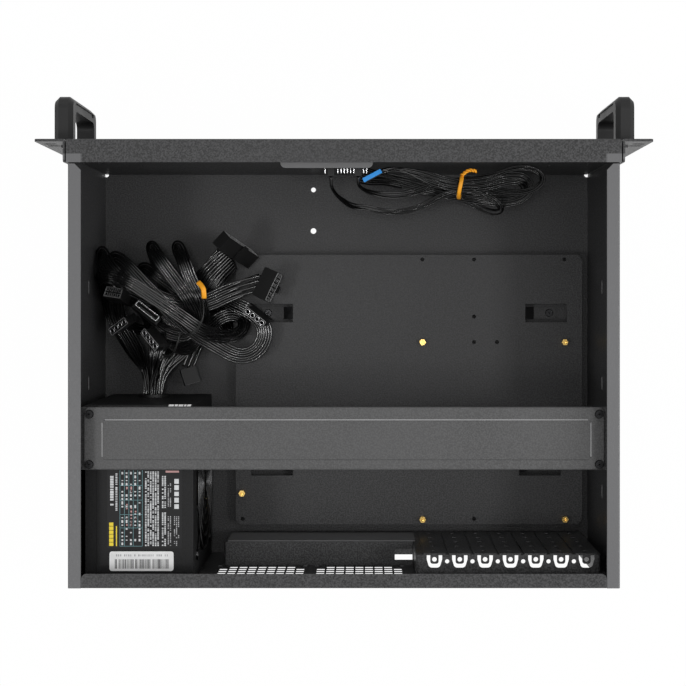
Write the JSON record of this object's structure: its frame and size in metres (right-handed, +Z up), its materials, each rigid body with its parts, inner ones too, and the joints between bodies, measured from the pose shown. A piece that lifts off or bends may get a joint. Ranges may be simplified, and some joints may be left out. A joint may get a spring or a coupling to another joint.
{
  "type": "rackmount server case",
  "caption": "Open-topped rack case of black folded steel with front handles, a board tray, a cross beam, a power supply with its cables, and rear vents and card slots.",
  "frame": {"origin": "middle of the underside of the case floor", "axes": "+Z up, -Y out of the front panel, +X to the left as seen from behind"},
  "size_m": [0.4826, 0.3896, 0.177],
  "materials": {
    "case_paint": "fine textured black powder coat",
    "handle_paint": "satin black paint on a bowed metal handle",
    "screw_steel": "black oxide steel",
    "rivet_steel": "blackened steel",
    "brass": "bare turned brass",
    "zinc_plate": "zinc-plated sheet",
    "blank_plate": "thin dark grey coated sheet",
    "grey_paint": "light grey paint",
    "grey_plastic": "moulded, fine grain",
    "board_laminate": "solder mask on laminate",
    "button_plastic": "moulded black",
    "lamp_plastic": "diffused lens",
    "supply_paint": "matt black powder coat",
    "black_plastic": "moulded black",
    "guard_wire": "plated wire",
    "label_film": "printed film",
    "plug_plastic": "moulded nylon",
    "cable_sheath": "soft black insulation",
    "tie_plastic": "orange-yellow coated wire"
  },
  "bodies": {
    "case": {"beam_bracket_left": "case_paint", "beam_bracket_right": "case_paint", "board_cable": "cable_sheath", "board_plug": "plug_plastic", "board_standoffs": "brass", "card_cable": "cable_sheath", "card_plug": "plug_plastic", "case_screws": "screw_steel", "chassis_tub": "case_paint", "cross_beam": "case_paint", "disk_plug": "plug_plastic", "drive_cable_1": "cable_sheath", "drive_cable_2": "cable_sheath", "drive_cable_3": "cable_sheath", "drive_cable_4": "cable_sheath", "drive_plug_1": "plug_plastic", "drive_plug_2": "plug_plastic", "fan_plug": "plug_plastic", "front_panel": "case_paint", "handle_left": "handle_paint", "handle_right": "handle_paint", "header_plugs": "plug_plastic", "indicator_lamps": "lamp_plastic", "io_blank_plate": "blank_plate", "lamp_cable": "cable_sheath", "main_cable": "cable_sheath", "main_plug": "plug_plastic", "module_board": "board_laminate", "module_bracket": "grey_paint", "module_face": "grey_plastic", "motherboard_tray": "case_paint", "processor_plug": "plug_plastic", "psu_base": "supply_paint", "psu_board": "board_laminate", "psu_cover": "supply_paint", "psu_fan_frame": "black_plastic", "psu_fan_guard": "guard_wire", "psu_gland": "black_plastic", "psu_inlet": "black_plastic", "psu_labels": "label_film", "psu_rocker_frame": "black_plastic", "rack_ear_left": "case_paint", "rack_ear_right": "case_paint", "rear_panel": "case_paint", "rivets": "rivet_steel", "slot_cover_1": "case_paint", "slot_cover_2": "case_paint", "slot_cover_3": "case_paint", "slot_cover_4": "case_paint", "slot_cover_5": "case_paint", "slot_cover_6": "case_paint", "slot_cover_7": "case_paint", "switch_cable": "cable_sheath", "twist_ties": "tie_plastic", "usb_cable": "cable_sheath", "usb_ports": "zinc_plate"},
    "power_button": {"power_button": "button_plastic"},
    "reset_button": {"reset_button": "button_plastic"},
    "fan_rotor": {"psu_fan_rotor": "black_plastic"},
    "rocker": {"psu_rocker": "button_plastic"}
  },
  "joints": [
    {"name": "power_button_press", "type": "slide", "parent": "case", "child": "power_button", "axis": [0, 1, 0], "range_m": [0, 0.0014], "stiffness_N_per_m": 600, "springref_m": -0.001},
    {"name": "reset_button_press", "type": "slide", "parent": "case", "child": "reset_button", "axis": [0, 1, 0], "range_m": [0, 0.0014], "stiffness_N_per_m": 600, "springref_m": -0.001},
    {"name": "fan_spin", "type": "hinge", "parent": "case", "child": "fan_rotor", "pos_m": [0.13, 0.1038, 0.0762], "axis": [1, 0, 0], "continuous": true},
    {"name": "rocker_tip", "type": "hinge", "parent": "case", "child": "rocker", "pos_m": [0.1886, 0.1698, 0.118], "axis": [1, 0, 0], "range_deg": [-16, 0]}
  ]
}
